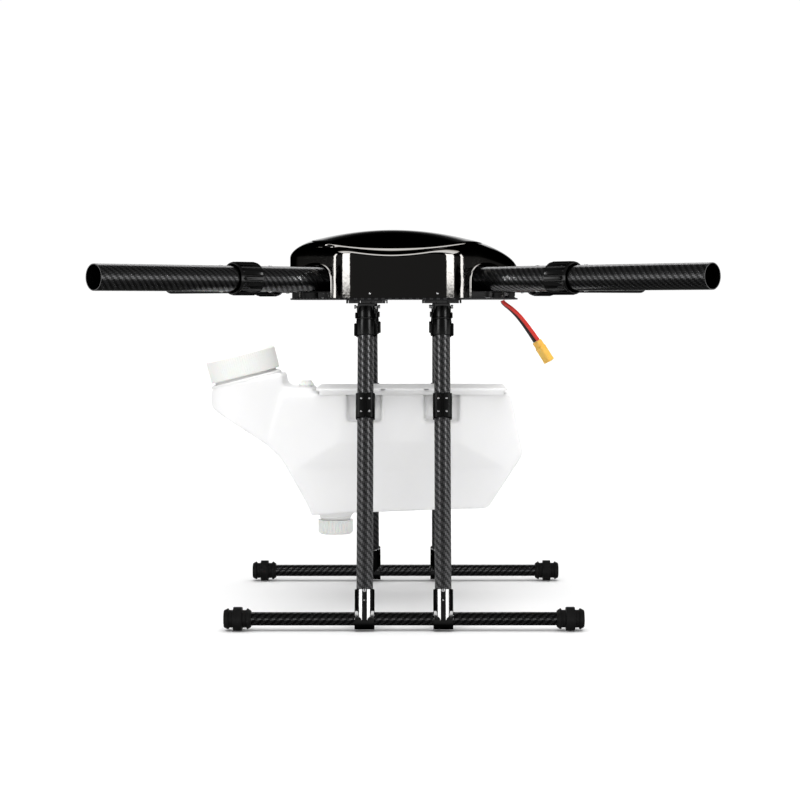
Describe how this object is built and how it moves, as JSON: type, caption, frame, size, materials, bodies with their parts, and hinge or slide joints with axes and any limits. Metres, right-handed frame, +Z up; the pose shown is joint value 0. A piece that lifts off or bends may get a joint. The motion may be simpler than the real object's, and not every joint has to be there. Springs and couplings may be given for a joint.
{
  "type": "agricultural spray drone frame",
  "caption": "Folding quadcopter spray drone frame with gloss hub canopy, carbon arms, splayed legs on skids, hung liquid tank and a power lead.",
  "frame": {"origin": "on the ground under the centre of the hub, at the middle of the arm tips", "axes": "+Z up, +X to the right with the tank's filler towards -X, the side shown in the picture towards -Y"},
  "size_m": [0.9302, 0.9302, 0.6349],
  "materials": {
    "canopy_gloss": "gloss",
    "carbon_plate": "satin",
    "carbon_arm": "gloss",
    "carbon_leg": "satin",
    "carbon_skid": "satin",
    "anodised": "satin",
    "moulded": "satin",
    "foot_rubber": "matte",
    "grommet_rubber": "matte",
    "tank_plastic": "satin",
    "cap_plastic": "satin",
    "board": "satin",
    "lead_red": "satin",
    "lead_black": "satin",
    "connector": "satin"
  },
  "bodies": {
    "frame": {"canopy": "canopy_gloss", "lower_plate": "carbon_plate", "upper_plate": "carbon_plate", "power_board": "board", "arm_socket_front_left": "moulded", "stub_tube_front_left": "carbon_arm", "hinge_base_front_left": "anodised", "arm_socket_front_right": "moulded", "stub_tube_front_right": "carbon_arm", "hinge_base_front_right": "anodised", "arm_socket_rear_left": "moulded", "stub_tube_rear_left": "carbon_arm", "hinge_base_rear_left": "anodised", "arm_socket_rear_right": "moulded", "stub_tube_rear_right": "carbon_arm", "hinge_base_rear_right": "anodised", "leg_mount_front_left": "moulded", "leg_tube_front_left": "carbon_leg", "leg_clamp_front_left": "anodised", "skid_joint_front_left": "anodised", "leg_mount_front_right": "moulded", "leg_tube_front_right": "carbon_leg", "leg_clamp_front_right": "anodised", "skid_joint_front_right": "anodised", "leg_mount_rear_left": "moulded", "leg_tube_rear_left": "carbon_leg", "leg_clamp_rear_left": "anodised", "skid_joint_rear_left": "anodised", "leg_mount_rear_right": "moulded", "leg_tube_rear_right": "carbon_leg", "leg_clamp_rear_right": "anodised", "skid_joint_rear_right": "anodised", "skid_tube_front": "carbon_skid", "foot_front_left": "foot_rubber", "foot_front_right": "foot_rubber", "skid_tube_rear": "carbon_skid", "foot_rear_left": "foot_rubber", "foot_rear_right": "foot_rubber", "tank_body": "tank_plastic", "tank_rail_left": "carbon_skid", "tank_rail_right": "carbon_skid", "lead_grommet": "grommet_rubber", "lead_red": "lead_red", "lead_black": "lead_black", "lead_connector": "connector"},
    "folding_arm_front_left": {"hinge_knuckle_front_left": "anodised", "arm_tube_front_left": "carbon_arm"},
    "locking_collar_front_left": {"lock_collar_front_left": "anodised"},
    "folding_arm_front_right": {"hinge_knuckle_front_right": "anodised", "arm_tube_front_right": "carbon_arm"},
    "locking_collar_front_right": {"lock_collar_front_right": "anodised"},
    "folding_arm_rear_left": {"hinge_knuckle_rear_left": "anodised", "arm_tube_rear_left": "carbon_arm"},
    "locking_collar_rear_left": {"lock_collar_rear_left": "anodised"},
    "folding_arm_rear_right": {"hinge_knuckle_rear_right": "anodised", "arm_tube_rear_right": "carbon_arm"},
    "locking_collar_rear_right": {"lock_collar_rear_right": "anodised"},
    "filler_lid": {"filler_cap": "cap_plastic"},
    "outlet_lid": {"outlet_cap": "cap_plastic"},
    "breather_lid": {"breather_cap": "cap_plastic"}
  },
  "joints": [
    {"name": "fold_front_left", "type": "hinge", "parent": "frame", "child": "folding_arm_front_left", "pos_m": [-0.24324, -0.26163, 0.55], "axis": [0, 0, 1], "range_deg": [0, 135]},
    {"name": "fold_front_right", "type": "hinge", "parent": "frame", "child": "folding_arm_front_right", "pos_m": [0.26163, -0.24324, 0.55], "axis": [0, 0, 1], "range_deg": [0, 135]},
    {"name": "fold_rear_left", "type": "hinge", "parent": "frame", "child": "folding_arm_rear_left", "pos_m": [-0.26163, 0.24324, 0.55], "axis": [0, 0, 1], "range_deg": [0, 135]},
    {"name": "fold_rear_right", "type": "hinge", "parent": "frame", "child": "folding_arm_rear_right", "pos_m": [0.24324, 0.26163, 0.55], "axis": [0, 0, 1], "range_deg": [0, 135]},
    {"name": "unlock_front_left", "type": "slide", "parent": "frame", "child": "locking_collar_front_left", "axis": [0.7071, 0.7071, 0], "range_m": [0, 0.0945]},
    {"name": "unlock_front_right", "type": "slide", "parent": "frame", "child": "locking_collar_front_right", "axis": [-0.7071, 0.7071, 0], "range_m": [0, 0.0945]},
    {"name": "unlock_rear_left", "type": "slide", "parent": "frame", "child": "locking_collar_rear_left", "axis": [0.7071, -0.7071, 0], "range_m": [0, 0.0945]},
    {"name": "unlock_rear_right", "type": "slide", "parent": "frame", "child": "locking_collar_rear_right", "axis": [-0.7071, -0.7071, 0], "range_m": [0, 0.0945]},
    {"name": "filler_cap_lift", "type": "slide", "parent": "frame", "child": "filler_lid", "axis": [-0.2425, 0, 0.9701], "range_m": [0, 0.07]},
    {"name": "outlet_cap_drop", "type": "slide", "parent": "frame", "child": "outlet_lid", "axis": [0, 0, -1], "range_m": [0, 0.04]},
    {"name": "breather_cap_turn", "type": "hinge", "parent": "frame", "child": "breather_lid", "pos_m": [-0.166, 0, 0.372], "axis": [0, 0, 1], "range_deg": [0, 360]}
  ],
  "couplings": [
    {"joint": "unlock_front_left", "follows": "fold_front_left", "m_per_rad": 0.04},
    {"joint": "unlock_front_right", "follows": "fold_front_right", "m_per_rad": 0.04},
    {"joint": "unlock_rear_left", "follows": "fold_rear_left", "m_per_rad": 0.04},
    {"joint": "unlock_rear_right", "follows": "fold_rear_right", "m_per_rad": 0.04}
  ]
}
